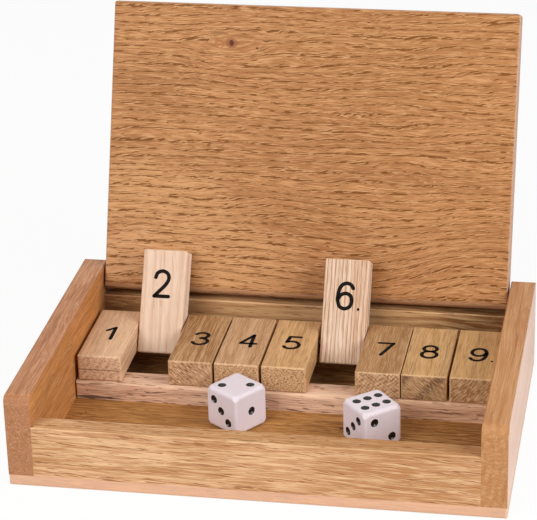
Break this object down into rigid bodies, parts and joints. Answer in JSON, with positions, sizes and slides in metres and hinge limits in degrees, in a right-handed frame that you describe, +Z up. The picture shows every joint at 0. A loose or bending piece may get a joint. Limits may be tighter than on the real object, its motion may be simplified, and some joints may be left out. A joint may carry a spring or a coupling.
{
  "type": "shut the box game",
  "caption": "Shallow wooden game box with numbered tiles that flip on a rod, a hinged lid that leans back when open, and dice.",
  "frame": {"origin": "middle of the base board's underside", "axes": "+X to the player's right, +Y to the back, +Z up"},
  "size_m": [0.18, 0.1601, 0.134],
  "materials": {
    "base_board": "satin oiled hardwood",
    "left_wall": "satin oiled hardwood",
    "right_wall": "satin oiled hardwood",
    "front_board": "satin oiled hardwood",
    "back_board": "satin oiled hardwood",
    "rest_rail": "satin oiled hardwood",
    "lid": "satin oiled hardwood",
    "tan_tile": "satin oiled hardwood",
    "pale_tile": "satin hardwood, paler stock",
    "steel": "drawn wire",
    "dice": "gloss, black pips",
    "black_ink": "numerals and pips"
  },
  "bodies": {
    "box": {"base_board": "base_board", "left_wall": "left_wall", "right_wall": "right_wall", "front_board": "front_board", "back_board": "back_board", "rest_rail": "rest_rail", "tile_rod": "steel", "lid_pin_left": "steel", "lid_pin_right": "steel"},
    "lid": {"lid": "lid"},
    "tile_1": {"tile_1": "tan_tile"},
    "tile_2": {"tile_2": "pale_tile"},
    "tile_3": {"tile_3": "tan_tile"},
    "tile_4": {"tile_4": "tan_tile"},
    "tile_5": {"tile_5": "tan_tile"},
    "tile_6": {"tile_6": "pale_tile"},
    "tile_7": {"tile_7": "tan_tile"},
    "tile_8": {"tile_8": "tan_tile"},
    "tile_9": {"tile_9": "tan_tile"},
    "die_left": {"die_left": "dice"},
    "die_right": {"die_right": "dice"}
  },
  "joints": [
    {"name": "lid_hinge", "type": "hinge", "parent": "box", "child": "lid", "pos_m": [0, 0.0557, 0.03], "axis": [1, 0, 0], "range_deg": [0, 111.1]},
    {"name": "tile_1_flip", "type": "hinge", "parent": "box", "child": "tile_1", "pos_m": [0, 0.0338, 0.0173], "axis": [1, 0, 0], "range_deg": [-119.8, 0]},
    {"name": "tile_2_flip", "type": "hinge", "parent": "box", "child": "tile_2", "pos_m": [0, 0.0338, 0.0173], "axis": [1, 0, 0], "range_deg": [0, 119.8]},
    {"name": "tile_3_flip", "type": "hinge", "parent": "box", "child": "tile_3", "pos_m": [0, 0.0338, 0.0173], "axis": [1, 0, 0], "range_deg": [-119.8, 0]},
    {"name": "tile_4_flip", "type": "hinge", "parent": "box", "child": "tile_4", "pos_m": [0, 0.0338, 0.0173], "axis": [1, 0, 0], "range_deg": [-119.8, 0]},
    {"name": "tile_5_flip", "type": "hinge", "parent": "box", "child": "tile_5", "pos_m": [0, 0.0338, 0.0173], "axis": [1, 0, 0], "range_deg": [-119.8, 0]},
    {"name": "tile_6_flip", "type": "hinge", "parent": "box", "child": "tile_6", "pos_m": [0, 0.0338, 0.0173], "axis": [1, 0, 0], "range_deg": [0, 119.8]},
    {"name": "tile_7_flip", "type": "hinge", "parent": "box", "child": "tile_7", "pos_m": [0, 0.0338, 0.0173], "axis": [1, 0, 0], "range_deg": [-119.8, 0]},
    {"name": "tile_8_flip", "type": "hinge", "parent": "box", "child": "tile_8", "pos_m": [0, 0.0338, 0.0173], "axis": [1, 0, 0], "range_deg": [-119.8, 0]},
    {"name": "tile_9_flip", "type": "hinge", "parent": "box", "child": "tile_9", "pos_m": [0, 0.0338, 0.0173], "axis": [1, 0, 0], "range_deg": [-119.8, 0]},
    {"name": "die_left_lift", "type": "slide", "parent": "box", "child": "die_left", "axis": [0, 0, -1], "range_m": [-0.03, 0]},
    {"name": "die_right_lift", "type": "slide", "parent": "box", "child": "die_right", "axis": [0, 0, -1], "range_m": [-0.03, 0]}
  ],
  "couplings": [
    {"joint": "tile_2_flip", "follows": "lid_hinge", "ratio": 1.0783},
    {"joint": "tile_6_flip", "follows": "lid_hinge", "ratio": 1.0783}
  ]
}
